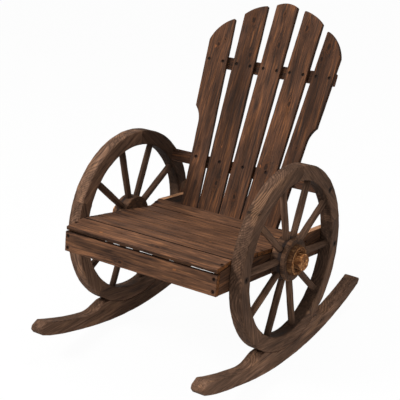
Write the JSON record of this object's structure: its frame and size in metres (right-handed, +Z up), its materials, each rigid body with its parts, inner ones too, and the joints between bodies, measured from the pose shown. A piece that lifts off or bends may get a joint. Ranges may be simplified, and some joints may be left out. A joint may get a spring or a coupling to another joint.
{
  "type": "rocking chair",
  "caption": "Outdoor rocking chair with wagon wheels as armrests, a slatted seat and a fanned, reclined slat back on a pair of saddle-notched rockers.",
  "frame": {"origin": "on the ground, under the middle of the chair's bounding box", "axes": "+X to the sitter's left, which is the viewer's right from the front; +Y from the front of the seat to its back; +Z up"},
  "size_m": [0.69, 0.9112, 0.9487],
  "materials": {
    "grey_wood": "weathered, fine wavy grain",
    "raw_wood": "bare hewn end grain",
    "hub_wood": "stained, satin",
    "seat_wood": "stained fir, satin",
    "back_wood": "dark stained fir, satin",
    "screw_steel": "dark, oxidised"
  },
  "bodies": {
    "root": {"apron": "seat_wood", "axle_stub_left": "raw_wood", "axle_stub_right": "raw_wood", "back_brace": "back_wood", "back_screws": "screw_steel", "back_slat_1": "back_wood", "back_slat_2": "back_wood", "back_slat_3": "back_wood", "back_slat_4": "back_wood", "back_slat_5": "back_wood", "cross_rail": "back_wood", "felloe_1_left": "grey_wood", "felloe_1_right": "grey_wood", "felloe_2_left": "grey_wood", "felloe_2_right": "grey_wood", "felloe_3_left": "grey_wood", "felloe_3_right": "grey_wood", "felloe_4_left": "grey_wood", "felloe_4_right": "grey_wood", "felloe_5_left": "grey_wood", "felloe_5_right": "grey_wood", "foot_rail": "seat_wood", "hub_boss_left": "raw_wood", "hub_boss_right": "raw_wood", "hub_left": "hub_wood", "hub_right": "hub_wood", "rail_screws": "screw_steel", "rim_dowels": "grey_wood", "rocker_left": "grey_wood", "rocker_right": "grey_wood", "seat_slat_2": "seat_wood", "seat_slat_3": "seat_wood", "seat_slat_4": "seat_wood", "seat_slat_5": "seat_wood", "seat_slat_6": "seat_wood", "seat_slat_front": "seat_wood", "seat_slat_rear": "seat_wood", "side_rail_left": "seat_wood", "side_rail_right": "seat_wood", "spoke_10_left": "grey_wood", "spoke_10_right": "grey_wood", "spoke_1_left": "grey_wood", "spoke_1_right": "grey_wood", "spoke_2_left": "grey_wood", "spoke_2_right": "grey_wood", "spoke_3_left": "grey_wood", "spoke_3_right": "grey_wood", "spoke_4_left": "grey_wood", "spoke_4_right": "grey_wood", "spoke_5_left": "grey_wood", "spoke_5_right": "grey_wood", "spoke_6_left": "grey_wood", "spoke_6_right": "grey_wood", "spoke_7_left": "grey_wood", "spoke_7_right": "grey_wood", "spoke_8_left": "grey_wood", "spoke_8_right": "grey_wood", "spoke_9_left": "grey_wood", "spoke_9_right": "grey_wood", "wheel_screws": "screw_steel"}
  },
  "joints": []
}
